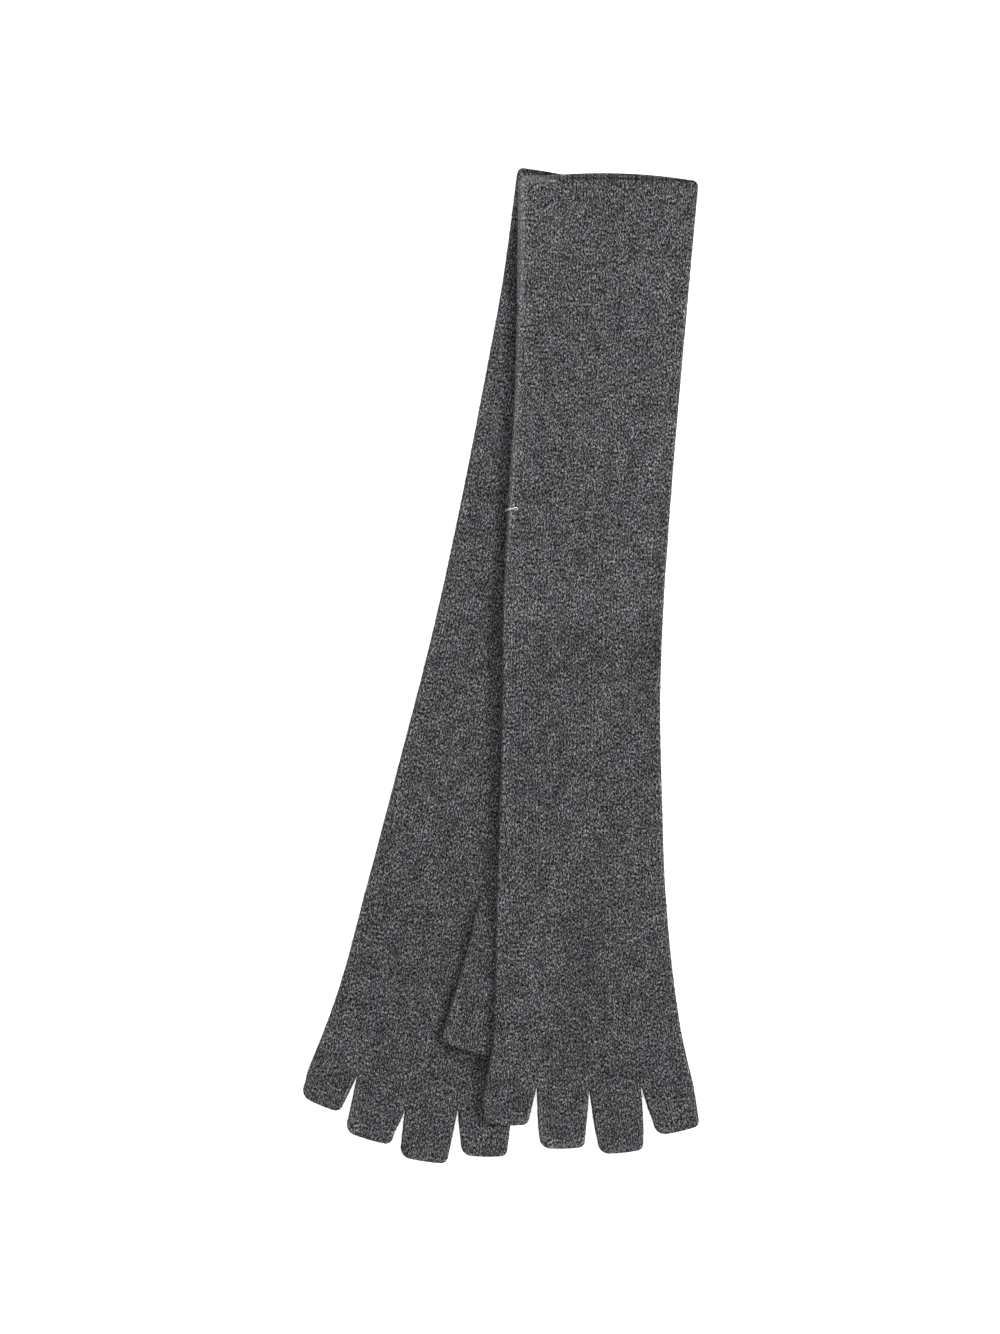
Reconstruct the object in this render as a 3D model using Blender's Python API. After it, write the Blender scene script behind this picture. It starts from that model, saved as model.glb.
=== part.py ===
"""A pair of long fingerless gloves in felted wool knit, laid flat, one across the other.

The left-hand glove lies underneath with its palm up and its thumb folded onto the palm. The
right-hand glove lies on it with its palm down, its own thumb folded under it, and droops to the
surface past the other's edge. Each glove is a tube for the arm and hand, with four finger stubs
and a thumb set on it. Every tube is open at both ends and is two layers of cloth thick.

Metres, +Z up. The pair lies on z = 0 with the cuffs at +Y, and the origin under its middle.
"""

import math
from collections import namedtuple

import bmesh
import bpy
import numpy as np

MM = 0.001

# The cloth
WALL = 1.5 * MM
HOLLOW = 0.5 * MM  # left between the two layers of a tube that is laid flat
SEAM = 0.3 * MM  # between pieces that meet
TUBE_HEIGHT = 2 * WALL + HOLLOW
FOLD_RADIUS = TUBE_HEIGHT / 2
TUBE_RADII = (FOLD_RADIUS, FOLD_RADIUS - WALL)
WOOL_GREY = (0.085, 0.085, 0.088, 1.0)
WOOL_ROUGHNESS = 0.95

# The cut of a glove, the same for both. Lengths along it are in mm from the cuff's edge.
ARM_LENGTH = 458.0  # from the cuff to where the fingers part
Girth = namedtuple("Girth", "along width")
ARM_GIRTHS = (
    Girth(0, 90.0),
    Girth(50, 86.0),
    Girth(110, 82.2),
    Girth(170, 81.0),
    Girth(220, 80.0),
    Girth(265, 79.2),
    Girth(315, 81.4),
    Girth(365, 84.8),
    Girth(405, 89.4),
    Girth(435, 95.2),
    Girth(458, 103.2),
)
FINGER_CORNERS = (5.0 * MM, 3.0 * MM)  # radius on the little finger's side and on the thumb's
THUMB_OPENING = (347.0, 371.0)  # the slit in the palm that the thumb grows from
THUMB_END = 434.0
THUMB_END_EDGES = (10.5, 36.3)  # across the hand from its middle, at the thumb's open end
THUMB_END_SLANT = 2.0 * MM
THUMB_CORNERS = (2.5 * MM, 2.5 * MM)

# How each glove lies: its middle line from the cuff to the finger roots, in mm from the pair's
# middle, and each finger's splay in degrees from the hand's own line towards the little side
Point = namedtuple("Point", "x y")
Finger = namedtuple("Finger", "name root_width end_width length splay")
Lay = namedtuple("Lay", "side palm_up middle_line fingers cuff_turn cuff_bow")
LEFT_LAY = Lay(
    side="left",
    palm_up=True,
    middle_line=(
        Point(52.3, 237.6),
        Point(43.9, 189.0),
        Point(31.1, 129.0),
        Point(19.6, 73.0),
        Point(8.3, 22.5),
        Point(-4.2, -27.0),
        Point(-16.0, -77.0),
        Point(-27.3, -127.0),
        Point(-35.5, -167.5),
        Point(-42.3, -198.0),
        Point(-44.9, -210.2),
    ),
    fingers=(
        Finger("little", 24.8, 21.8, 18.6, 11.0),
        Finger("ring", 25.6, 24.2, 30.0, 3.4),
        Finger("middle", 26.1, 24.4, 35.0, -2.8),
        Finger("index", 26.7, 23.4, 26.8, -9.8),
    ),
    cuff_turn=5.0,
    cuff_bow=3.0 * MM,
)
RIGHT_LAY = Lay(
    side="right",
    palm_up=False,
    middle_line=(
        Point(53.6, 242.2),
        Point(51.2, 195.0),
        Point(47.9, 135.0),
        Point(43.8, 76.0),
        Point(41.0, 26.5),
        Point(40.1, -18.0),
        Point(40.0, -68.0),
        Point(40.2, -118.0),
        Point(41.6, -158.0),
        Point(43.2, -188.0),
        Point(44.6, -212.0),
    ),
    fingers=(
        Finger("little", 24.0, 20.8, 15.0, 10.5),
        Finger("ring", 26.4, 22.9, 28.2, 2.4),
        Finger("middle", 27.8, 22.8, 32.0, -2.0),
        Finger("index", 25.0, 22.6, 23.4, -9.0),
    ),
    cuff_turn=-2.4,
    cuff_bow=3.7 * MM,
)
CUFF_STEP = 2.2 * MM  # how far the layer below reaches past the one above, at the cuff's middle
CUFF_CORNER = 2.5 * MM

# How far the upper glove takes to come down from what it lies on
DROOP_RUN = 26.0 * MM
DROOP_START = 3.0 * MM
THUMB_DROOP_RUN = 22.0 * MM
THUMB_DROOP_START = 6.0 * MM
CUFF_DROOP_RUN = 40.0 * MM

# How finely the pieces are made. Lengths along a glove are in mm here too.
LINE_SPACING = 2.0  # of the points on a middle line
GIRTH_SPACING = 4.0
LINE_REACH = 60.0 * MM  # how far a middle line runs on, straight, past the glove's ends
SIDE_STEPS = 3  # between a fold's two ends
ARM_COLUMNS = 15
FIRST_PALM_COLUMN = 10  # the thumb's opening runs from this column to the side fold
FINGER_COLUMNS = 5
FINGER_STATIONS = (0.0, 0.4, 0.7, 0.88, 1.0)
THUMB_COLUMNS = 6
CUFF_STATIONS = (3.0, 8.0)  # close to the cuff's edge, for its rounded corners
ARM_STEP = 25.0
OPENING_STATIONS = 4
FREE_THUMB_STATIONS = 6
HAND_STEP = 9.0
THUMB_RIM = 3.0 * MM
END_ZONE = 14.0 * MM  # how far a rounded or slanted end reaches into its tube
SHARP_EDGE = math.radians(50)


def smooth_step(t):
    """From 0 to 1 as t goes from 0 to 1, level at both ends."""
    t = min(max(t, 0.0), 1.0)
    return t * t * (3 - 2 * t)


def fall(distance, run):
    """1 up to a distance of 0, then down to 0 over the run."""
    return 1 - smooth_step(distance / run)


def smooth_curve(rows, spacing):
    """Points about spacing apart on a smooth curve through the rows."""
    rows = np.array(rows, float)
    steps = np.linalg.norm(np.diff(rows, axis=0), axis=1)
    knots = np.concatenate([[0], np.cumsum(steps)])
    slopes = np.gradient(rows, knots, axis=0)
    at = np.linspace(0, knots[-1], int(knots[-1] / spacing) + 1)
    i = np.clip(np.searchsorted(knots, at, side="right") - 1, 0, len(steps) - 1)
    t = ((at - knots[i]) / steps[i])[:, None]
    reach = steps[i][:, None]
    return (
        rows[i] * (1 + 2 * t) * (1 - t) ** 2
        + rows[i + 1] * t * t * (3 - 2 * t)
        + slopes[i] * reach * t * (1 - t) ** 2
        + slopes[i + 1] * reach * t * t * (t - 1)
    )


class Glove:
    """One glove's cut, and the places that its points take as it lies."""

    def __init__(self, lay):
        self.lay = lay
        line = smooth_curve(lay.middle_line, LINE_SPACING) * MM
        steps = np.linalg.norm(np.diff(line, axis=0), axis=1)
        before = line[0] - (line[1] - line[0]) * LINE_REACH / steps[0]
        after = line[-1] + (line[-1] - line[-2]) * LINE_REACH / steps[-1]
        self.line = np.vstack([before, line, after])
        along = np.cumsum([0, *steps]) * ARM_LENGTH * MM / steps.sum()
        self.along = np.array([-LINE_REACH, *along, along[-1] + LINE_REACH])
        ahead = np.gradient(self.line, self.along, axis=0)
        self.ahead = ahead / np.linalg.norm(ahead, axis=1)[:, None]
        self.girths = smooth_curve(ARM_GIRTHS, GIRTH_SPACING) * MM

    def half_width(self, along):
        return float(np.interp(along, self.girths[:, 0], self.girths[:, 1])) / 2

    def axes(self, along):
        """The way to the fingers, and the way across to the thumb's side."""
        x, y = (np.interp(along, self.along, self.ahead[:, k]) for k in (0, 1))
        length = math.hypot(x, y)
        return np.array([x, y]) / length, np.array([-y, x]) / length

    def place(self, along, across):
        """Where a point of the laid glove is, seen from above."""
        middle = [np.interp(along, self.along, self.line[:, k]) for k in (0, 1)]
        return np.array(middle) + across * self.axes(along)[1]

    def lift(self, along, across, z, height):
        """A point of the laid glove, z above what it lies on there."""
        x, y = self.place(along, across)
        return x, y, height((x, y)) + z

    def locate(self, point):
        """How far along the glove and across it a point lies."""
        i = int(np.argmin(((self.line - point) ** 2).sum(axis=1)))
        i = min(max(i, 1), len(self.along) - 2)
        offset = np.asarray(point) - self.line[i]
        ahead = self.ahead[i]
        return self.along[i] + offset @ ahead, offset @ np.array([-ahead[1], ahead[0]])

    def opening_edges(self, along):
        """The sides of the thumb's opening, across from the hand's middle."""
        flat = self.half_width(along) - FOLD_RADIUS
        return flat * (2 * FIRST_PALM_COLUMN / ARM_COLUMNS - 1), flat

    def thumb_edges(self, along):
        """The two sides of the thumb, across from the hand's middle."""
        _, base = (x * MM for x in THUMB_OPENING)
        share = smooth_step((along - base) / (THUMB_END * MM - base))
        first, last = self.opening_edges(min(along, base))
        roots = (first + SEAM, last - SEAM)
        return tuple(r + share * (e * MM - r) for r, e in zip(roots, THUMB_END_EDGES))

    def thumb_rise(self, along):
        """How far the thumb has come out of its opening, from 0 to 1."""
        start, end = (x * MM for x in THUMB_OPENING)
        return smooth_step((along - start) / (end - start))

    def thumb_lift(self, point, margin):
        """How much the thumb lifts what lies on it, at a point seen from above."""
        along, across = self.locate(point)
        first, last = self.thumb_edges(along)
        beside = max(first - margin - across, across - last - margin)
        past = along - THUMB_END * MM - THUMB_END_SLANT - margin
        share = self.thumb_rise(along + margin) * fall(beside, THUMB_DROOP_RUN)
        share *= fall(past, THUMB_DROOP_RUN)
        return (SEAM + TUBE_HEIGHT) * share


def right_underside(left, right, point):
    """The height of the upper glove's underside, at a point seen from above."""
    along, across = left.locate(point)
    beside = across - left.half_width(along) - DROOP_START
    above_cuff = -along - left.lay.cuff_bow
    lower_glove = (SEAM + TUBE_HEIGHT) * fall(beside, DROOP_RUN) * fall(above_cuff, CUFF_DROOP_RUN)
    return lower_glove + left.thumb_lift(point, THUMB_DROOP_START) + right.thumb_lift(point, 0.0)


def tube_section(left, right, columns):
    """A tube laid flat, as (across, height): its upper layer, one fold, its lower layer, the other.

    Each row has a point of the cloth's outside and the one of its inside that faces it.
    """
    flat = np.linspace(left + FOLD_RADIUS, right - FOLD_RADIUS, columns + 1)
    quarter = math.pi / 2
    turns = [quarter - math.pi * (k + 1) / (SIDE_STEPS + 1) for k in range(SIDE_STEPS)]
    centres = [(x, quarter) for x in flat]
    centres += [(flat[-1], turn) for turn in turns]
    centres += [(x, -quarter) for x in flat[::-1]]
    centres += [(flat[0], math.pi - turn) for turn in reversed(turns)]
    return [
        tuple((x + r * math.cos(turn), FOLD_RADIUS + r * math.sin(turn)) for r in TUBE_RADII)
        for x, turn in centres
    ]


def corner_cut(across, left, right, radii):
    """How far a rounded corner draws the tube's end back at a place across it."""
    cut = 0.0
    for radius, from_side in zip(radii, (across - left, right - across)):
        if from_side < radius:
            cut = max(cut, radius - math.sqrt(max(radius**2 - (radius - from_side) ** 2, 0.0)))
    return cut


def wool(name):
    """Dark grey felted wool, for one piece."""
    material = bpy.data.materials.new(name + "_wool")
    material.use_nodes = True
    shader = material.node_tree.nodes["Principled BSDF"]
    shader.inputs["Base Color"].default_value = WOOL_GREY
    shader.inputs["Roughness"].default_value = WOOL_ROUGHNESS
    shader.inputs["Metallic"].default_value = 0.0
    return material


def cloth_tube(name, rings, kept=lambda step, side: True):
    """A tube through the rings, open at both ends and where a side isn't kept.

    A ring's rows are a point on the outside of the cloth and one on its inside.
    """
    bm = bmesh.new()
    verts = [[[bm.verts.new(point) for point in row] for row in ring] for ring in rings]
    around = len(rings[0])
    for i in range(len(rings) - 1):
        for j in range(around):
            if kept(i, j):
                k = (j + 1) % around
                corners = (verts[i][j], verts[i + 1][j], verts[i + 1][k], verts[i][k])
                bm.faces.new([outer for outer, _ in corners])
                bm.faces.new([inner for _, inner in reversed(corners)])
    inside_of = {outer: inner for ring in verts for outer, inner in ring}
    rims = [e for e in bm.edges if e.is_boundary and e.verts[0] in inside_of]
    for edge in rims:
        loop = edge.link_loops[0]
        start, end = loop.vert, loop.link_loop_next.vert
        bm.faces.new((end, start, inside_of[start], inside_of[end]))
    bmesh.ops.delete(bm, geom=[v for v in bm.verts if not v.link_faces], context="VERTS")
    mesh = bpy.data.meshes.new(name)
    bm.to_mesh(mesh)
    bm.free()
    mesh.shade_smooth()
    mesh.set_sharp_from_angle(angle=SHARP_EDGE)
    mesh.materials.append(wool(name))
    return bpy.data.objects.new(name, mesh)


def arm_stations():
    """Where the arm and hand's sections are: close together from the thumb's opening on."""
    start, end = THUMB_OPENING
    arm = np.linspace(0, start, round(start / ARM_STEP) + 1)
    opening = np.linspace(start, end, OPENING_STATIONS)
    hand = np.linspace(end, ARM_LENGTH, round((ARM_LENGTH - end) / HAND_STEP) + 1)
    return sorted({float(x) * MM for x in (*arm, *CUFF_STATIONS, *opening, *hand)})


def arm_and_hand(glove, height):
    """The long tube from the cuff to the finger roots, with the thumb's opening in its palm."""
    lay = glove.lay
    turn = math.tan(math.radians(lay.cuff_turn))
    stations = arm_stations()
    rings = []
    for along in stations:
        half = glove.half_width(along)
        fade = fall(along, 2 * END_ZONE)
        ring = []
        for row in tube_section(-half, half, ARM_COLUMNS):
            across, z = row[0]
            inwards = 1 - (across / half) ** 2
            cuff = turn * across - lay.cuff_bow * inwards
            cuff += CUFF_STEP * inwards * z / TUBE_HEIGHT
            cuff += corner_cut(across, -half, half, (CUFF_CORNER, CUFF_CORNER))
            ring.append([glove.lift(along + fade * cuff, x, z, height) for x, z in row])
        rings.append(ring)
    start, end = (stations.index(x * MM) for x in THUMB_OPENING)
    first, last = FIRST_PALM_COLUMN, ARM_COLUMNS - 1
    if not lay.palm_up:
        turned = 2 * ARM_COLUMNS + SIDE_STEPS
        first, last = turned - last, turned - first

    def kept(step, side):
        return not (start <= step < end and first <= side <= last)

    return cloth_tube(lay.side + "_arm_and_hand", rings, kept)


def finger_stubs(glove, height):
    """The four open stubs, side by side along the finger roots."""
    pieces = []
    hand, across_hand = glove.axes(ARM_LENGTH * MM)
    middle = glove.place(ARM_LENGTH * MM, 0.0) + hand * SEAM
    edge = -sum(finger.root_width for finger in glove.lay.fingers) * MM / 2
    for finger in glove.lay.fingers:
        width = finger.root_width * MM
        root = [middle + across_hand * x for x in (edge + SEAM / 2, edge + width - SEAM / 2)]
        edge += width
        angle = math.radians(finger.splay)
        ahead = hand * math.cos(angle) - across_hand * math.sin(angle)
        across = hand * math.sin(angle) + across_hand * math.cos(angle)
        length = finger.length * MM
        half = finger.end_width * MM / 2
        end_middle = (root[0] + root[1]) / 2 + ahead * length
        ends = [end_middle - across * half, end_middle + across * half]
        rings = []
        for share in FINGER_STATIONS:
            left, right = (r + share * (e - r) for r, e in zip(root, ends))
            width = float(np.linalg.norm(right - left))
            drawn = smooth_step(1 - (1 - share) * length / END_ZONE)
            ring = []
            for row in tube_section(0.0, width, FINGER_COLUMNS):
                cut = drawn * corner_cut(row[0][0], 0.0, width, FINGER_CORNERS)
                places = [(left + (right - left) * x / width - ahead * cut, z) for x, z in row]
                ring.append([(*place, height(place) + z) for place, z in places])
            rings.append(ring)
        pieces.append(cloth_tube(f"{glove.lay.side}_{finger.name}_finger", rings))
    return pieces


def thumb(glove):
    """The thumb, which comes out of its opening and lies folded against the palm.

    In the opening it is one layer, level with the palm. It is a whole tube from there on.
    """
    start, end = (x * MM for x in THUMB_OPENING)
    last = THUMB_END * MM
    opening = np.linspace(start + SEAM, end + SEAM, OPENING_STATIONS)
    free = np.linspace(end + SEAM, last, FREE_THUMB_STATIONS)[1:-1]
    stations = [*opening, *free, last - THUMB_RIM, last]
    rings = []
    for along in stations:
        left, right = glove.thumb_edges(along)
        rise = glove.thumb_rise(along)
        drawn = smooth_step(1 - (last - along) / (2 * END_ZONE))
        ring = []
        for row in tube_section(left, right, THUMB_COLUMNS):
            outer_across = row[0][0]
            from_middle = 2 * (outer_across - left) / (right - left) - 1
            cut = corner_cut(outer_across, left, right, THUMB_CORNERS)
            moved = along + drawn * (THUMB_END_SLANT * from_middle - cut)
            points = []
            for (across, z), depth in zip(row, (0.0, WALL)):
                if not glove.lay.palm_up:
                    z = TUBE_HEIGHT - z
                across = outer_across + rise * (across - outer_across)
                level = rise * (SEAM + z) - (1 - rise) * depth
                if glove.lay.palm_up:
                    level += TUBE_HEIGHT
                else:
                    level = rise * (SEAM + TUBE_HEIGHT) - level
                points.append((*glove.place(moved, across), level))
            ring.append(points)
        rings.append(ring)
    half_fold = (SIDE_STEPS + 1) // 2
    around = len(rings[0])
    away_from_palm = {side % around for side in range(-half_fold, THUMB_COLUMNS + half_fold)}
    if not glove.lay.palm_up:
        away_from_palm = set(range(around)) - away_from_palm

    def kept(step, side):
        return step >= len(opening) - 1 or side in away_from_palm

    return cloth_tube(glove.lay.side + "_thumb", rings, kept)


def main():
    for old in list(bpy.data.objects):
        bpy.data.objects.remove(old)
    pair = bpy.data.collections.new("Pair of gloves")
    bpy.context.scene.collection.children.link(pair)
    left = Glove(LEFT_LAY)
    right = Glove(RIGHT_LAY)

    def on_surface(place):
        return 0.0

    def on_left_glove(place):
        return right_underside(left, right, place)

    for glove, height in ((left, on_surface), (right, on_left_glove)):
        pieces = [arm_and_hand(glove, height), *finger_stubs(glove, height), thumb(glove)]
        for piece in pieces:
            pair.objects.link(piece)


main()
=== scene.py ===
"""A pair of long fingerless gloves in brushed heather wool, laid flat, one across the other.

Each glove is one soft shell of cloth from its open cuff to its four open finger stubs, with a
thumb folded against its palm. The nap is made of short fibres that stand on the cloth, and a
short white tack thread holds the upper glove's side fold. Values with MM in them are in metres.
Other lengths in the tables are in mm, and splays, turns and lifts are in degrees.
"""

import math
from collections import namedtuple

import bmesh
import bpy
import numpy as np
from mathutils import Matrix, Vector
from mathutils.bvhtree import BVHTree


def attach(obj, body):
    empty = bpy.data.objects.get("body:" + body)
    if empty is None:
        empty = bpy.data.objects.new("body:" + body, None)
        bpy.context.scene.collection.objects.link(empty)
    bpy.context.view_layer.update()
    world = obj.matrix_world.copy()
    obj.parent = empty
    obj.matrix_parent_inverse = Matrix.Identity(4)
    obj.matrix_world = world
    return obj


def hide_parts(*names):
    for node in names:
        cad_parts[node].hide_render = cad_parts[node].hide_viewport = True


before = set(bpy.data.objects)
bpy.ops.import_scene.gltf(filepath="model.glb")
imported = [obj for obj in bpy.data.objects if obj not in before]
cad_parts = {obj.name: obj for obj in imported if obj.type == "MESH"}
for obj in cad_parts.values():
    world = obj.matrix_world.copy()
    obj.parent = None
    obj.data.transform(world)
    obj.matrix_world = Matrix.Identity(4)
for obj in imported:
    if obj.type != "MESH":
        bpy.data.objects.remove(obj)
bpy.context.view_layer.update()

MM = 0.001

# ---------------------------------------------------------------------------------------
# The cut of a glove, the same for both. Lengths along it are in mm from the cuff's edge.

TUBE_HEIGHT = 3.5 * MM  # two layers of cloth, laid flat
SEAM = 0.3 * MM  # between one glove and the next
ARM_LENGTH = 458.0  # from the cuff to where the fingers part
Girth = namedtuple("Girth", "along width")
ARM_GIRTHS = (
    Girth(0, 90.0),
    Girth(50, 86.0),
    Girth(110, 82.2),
    Girth(170, 81.0),
    Girth(220, 80.0),
    Girth(265, 79.2),
    Girth(315, 81.4),
    Girth(365, 84.8),
    Girth(405, 89.4),
    Girth(435, 95.2),
    Girth(458, 103.2),
)
FINGER_CORNERS = (5.0 * MM, 3.0 * MM)  # radius on the little finger's side and on the thumb's
THUMB_OPENING = (347.0, 371.0)  # where the thumb comes out of the palm
THUMB_END = 434.0
THUMB_END_EDGES = (9.9, 36.3)  # across the hand from its middle, at the thumb's open end
THUMB_ROOT_EDGES = (13.9, 40.6)  # and where it has come out of the palm
THUMB_END_SLANT = 0.8 * MM
THUMB_CORNER = 4.2 * MM
CUFF_STEP = 2.4 * MM  # how far the cuff's layer below reaches past the one above
CUFF_CORNER = 3.4 * MM
END_ZONE = 14.0 * MM  # how far a rounded or slanted end reaches into its tube
END_BOW = 0.8 * MM  # how far a stub's end swells out in its middle

# How each glove lies: its middle line from the cuff to the finger roots, and its finger stubs
Point = namedtuple("Point", "x y")
Finger = namedtuple("Finger", "name root_width end_width length splay")
Lay = namedtuple("Lay", "side palm_up middle_line fingers cuff_turn cuff_bow")
LEFT_LAY = Lay(
    side="left",
    palm_up=True,
    middle_line=(
        Point(52.3, 237.6),
        Point(43.9, 189.0),
        Point(31.1, 129.0),
        Point(19.6, 73.0),
        Point(8.3, 22.5),
        Point(-4.2, -27.0),
        Point(-16.0, -77.0),
        Point(-27.3, -127.0),
        Point(-35.5, -167.5),
        Point(-42.3, -198.0),
        Point(-44.9, -210.2),
    ),
    fingers=(
        Finger("little", 24.8, 21.8, 18.6, 11.0),
        Finger("ring", 25.6, 24.2, 30.0, 3.4),
        Finger("middle", 26.1, 24.4, 35.0, -2.8),
        Finger("index", 26.7, 23.4, 26.8, -9.8),
    ),
    cuff_turn=5.0,
    cuff_bow=3.0 * MM,
)
RIGHT_LAY = Lay(
    side="right",
    palm_up=False,
    middle_line=(
        Point(53.6, 242.2),
        Point(51.2, 195.0),
        Point(47.9, 135.0),
        Point(43.8, 76.0),
        Point(41.0, 26.5),
        Point(40.1, -18.0),
        Point(40.0, -68.0),
        Point(40.2, -118.0),
        Point(41.6, -158.0),
        Point(43.2, -188.0),
        Point(44.6, -212.0),
    ),
    fingers=(
        Finger("little", 24.0, 20.8, 15.0, 10.5),
        Finger("ring", 26.4, 22.9, 28.2, 2.4),
        Finger("middle", 27.8, 22.8, 32.0, -2.0),
        Finger("index", 25.0, 22.6, 23.4, -9.0),
    ),
    cuff_turn=-2.4,
    cuff_bow=3.7 * MM,
)

# Where the cloth lies further ahead, towards the fingers, or aside than its cut would put it
Pull = namedtuple("Pull", "along across ahead aside run girth")
LEFT_PULLS = (
    Pull(458, -26.8, 0.5, -0.6, 12.0, 10.0),
    Pull(458, -1.2, 11.7, 0.6, 16.0, 12.0),
    Pull(458, 24.9, 6.4, 0.4, 14.0, 12.0),
)
RIGHT_PULLS = (
    Pull(0, -43.0, -1.4, 0.0, 12.0, 12.0),
    Pull(462, -51.6, 0.0, -2.2, 21.0, 13.0),
    Pull(458, -27.6, -2.9, 0.9, 14.0, 10.0),
    Pull(458, -1.2, 0.4, 0.6, 14.0, 10.0),
    Pull(458, 26.6, 0.0, -1.0, 14.0, 10.0),
)

# How far the upper glove takes to come down from what it lies on, and how far past the edge of
# that it starts to
DROOP_RUN = 18.0 * MM
DROOP_START = 3.0 * MM
LOWER_THUMB_DROOP_RUN = 11.0 * MM
LOWER_THUMB_DROOP_START = 3.0 * MM
OWN_THUMB_DROOP_RUN = 26.0 * MM
CUFF_DROOP_RUN = 40.0 * MM

# ---------------------------------------------------------------------------------------
# The cloth as it lies

WALL = 1.1 * MM
FOLD_ROUNDING = 1.0 * MM  # how far in from a fold the cloth is at its full height
RIM_ROUNDING = 0.9 * MM
RIM_DIP = 0.35  # how much lower a stub's rounded rim is, as a share of half the tube's height
CUFF_DIP = 0.12  # and a cuff's
FOLD_STEPS = 24  # in which the way round a fold is measured
FOLD_PUFF = 0.7 * MM  # how much higher the thick cloth stands beside a fold
FOLD_PUFF_FROM = 1.2 * MM  # where it stands highest
FOLD_PUFF_REACH = 2.6 * MM
CUFF_GAPE = 1.2 * MM  # how far the cuff's upper layer stands off the lower one
CUFF_GAPE_RUN = 7.0 * MM
THUMB_SINK = 0.4 * MM  # how deep the thumb's root is inside the palm's cloth
THUMB_BULGE = 1.5 * MM

# Soft troughs and ridges in the upper layer, each from one place on the glove to another
Crease = namedtuple("Crease", "along across end_along end_across width rise")
LEFT_CREASES = (
    Crease(456, -26.8, 428, -22.0, 2.2, -0.30),
    Crease(459, -1.2, 432, -0.2, 2.2, -0.34),
    Crease(458, 24.9, 436, 22.5, 2.0, -0.26),
    Crease(60, -30.0, 190, -22.0, 6.0, 0.20),
    Crease(150, -8.0, 300, -14.0, 7.0, -0.22),
    Crease(255, 8.0, 340, -6.0, 6.0, 0.20),
    Crease(300, -30.0, 330, 6.0, 5.0, -0.20),
    Crease(352, 2.0, 396, 6.0, 5.0, -0.30),
)
RIGHT_CREASES = (
    Crease(456, -27.6, 424, -24.0, 2.2, -0.30),
    Crease(457, -1.2, 420, -2.4, 2.0, -0.32),
    Crease(456, 26.6, 428, 21.0, 2.2, -0.28),
    Crease(222, -36.0, 208, 38.0, 9.0, 0.35),
    Crease(246, -36.0, 230, 38.0, 9.0, -0.40),
    Crease(20, -12.0, 130, -6.0, 7.0, 0.22),
    Crease(30, 14.0, 170, 20.0, 8.0, -0.20),
    Crease(260, -16.0, 345, -8.0, 7.0, -0.20),
    Crease(280, 12.0, 335, 24.0, 6.0, 0.22),
    Crease(350, -4.0, 425, 10.0, 8.0, 0.18),
)
# Where the whole fold of the upper glove stands off the one that it lies on
RIGHT_CURLS = (
    Crease(-6, -45.0, 60, -43.0, 7.0, 1.2),
    Crease(20, -45.0, 190, -40.5, 8.0, 1.1),
    Crease(150, -40.5, 290, -40.0, 8.0, 1.3),
    Crease(205, -40.5, 242, -40.0, 6.0, 1.2),
    Crease(250, -40.0, 360, -42.0, 8.0, 1.3),
    Crease(300, -41.0, 392, -44.0, 7.0, 0.9),
    Crease(425, -48.0, 470, -50.0, 6.0, 0.4),
)
# Bends across a glove. The highest is where the upper one was once folded in half. A bend's two
# sides slope away from its line, and each is down to a third at its own distance from it.
Bend = namedtuple("Bend", "along across end_along end_across before after rise")
RIGHT_BENDS = (
    Bend(219, 38.0, 233, -38.0, 30.0, 20.0, 1.9),
    Bend(66, 42.0, 30, -42.0, 22.0, 26.0, 0.7),
)
LEFT_BENDS = (Bend(262, 38.0, 246, -38.0, 28.0, 24.0, 0.6),)
BEND_SOFTNESS = 2.5 * MM

# Painted light and shade on the cloth: painted highlights make it lighter and painted shade, below
# 0, darker
EDGE_HIGHLIGHT = 0.28  # painted highlight beside a fold
EDGE_HIGHLIGHT_TILT = 0.10  # how much more of the painted highlight there is on the little finger's side
EDGE_HIGHLIGHT_FROM = 1.0 * MM
EDGE_HIGHLIGHT_REACH = 1.2 * MM
EDGE_LINE = -0.5  # painted shade right round the fold
EDGE_LINE_REACH = 0.4 * MM
END_HIGHLIGHT = 0.18  # painted highlight round a stub's open end
# painted highlight round the thumb's edges
THUMB_HIGHLIGHT = 0.42
PAINTED_LIGHT_GAIN = 0.7  # how much lighter the colour gets by painted light of 1
# Where the painted highlight is strongest, its dark and light fibres are evened into one tone
EVENED_FROM = 0.3
EVENED_RUN = 0.9
EVENED_SHARE = 0.42  # how far, as a share
EVENED_TONE = 0.075
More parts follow.
